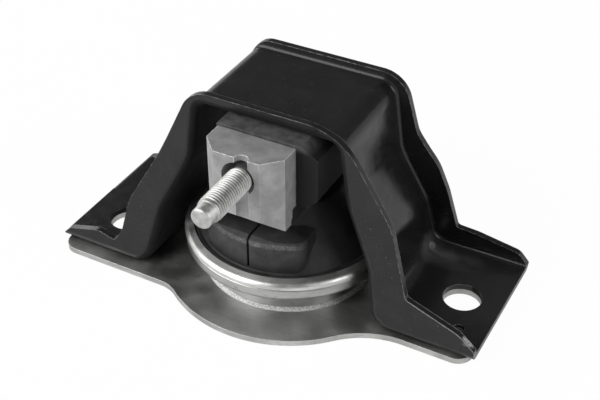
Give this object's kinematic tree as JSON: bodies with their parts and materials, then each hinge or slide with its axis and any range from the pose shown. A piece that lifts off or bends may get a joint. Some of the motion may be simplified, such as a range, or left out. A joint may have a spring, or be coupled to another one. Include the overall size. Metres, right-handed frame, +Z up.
{
  "type": "engine mount",
  "caption": "Hydraulic engine mount: pressed black steel arch over a rubber spring crimped in a drawn steel can on a zinc-plated base plate, with an M12 stud.",
  "frame": {"origin": "axis of the can at the underside of the base plate", "axes": "+Z up along the can's axis, -Y along the stud towards its tip, +X towards the narrower right-hand foot"},
  "size_m": [0.2164, 0.1438, 0.101],
  "materials": {
    "e_coated_steel": "semi-gloss black e-coat",
    "zinc_plated_steel": "zinc plated, satin",
    "drawn_steel_can": "zinc plated, deep drawn, crimped",
    "stud_steel": "zinc plated thread",
    "cast_aluminium": "as cast",
    "black_rubber": "moulded, matt",
    "pressed_aluminium": "machined",
    "plain_steel": "plain"
  },
  "bodies": {
    "root": {"arch": "e_coated_steel", "base_plate": "zinc_plated_steel", "can": "drawn_steel_can", "bond_ring": "plain_steel", "rubber_spring": "black_rubber", "core": "cast_aluminium", "stop_jacket": "black_rubber", "stud": "stud_steel", "track_plate_upper": "pressed_aluminium", "track_plate_lower": "pressed_aluminium", "decoupler": "black_rubber", "bellows": "black_rubber", "bellows_ring": "plain_steel", "track_rivets": "plain_steel"}
  },
  "joints": []
}
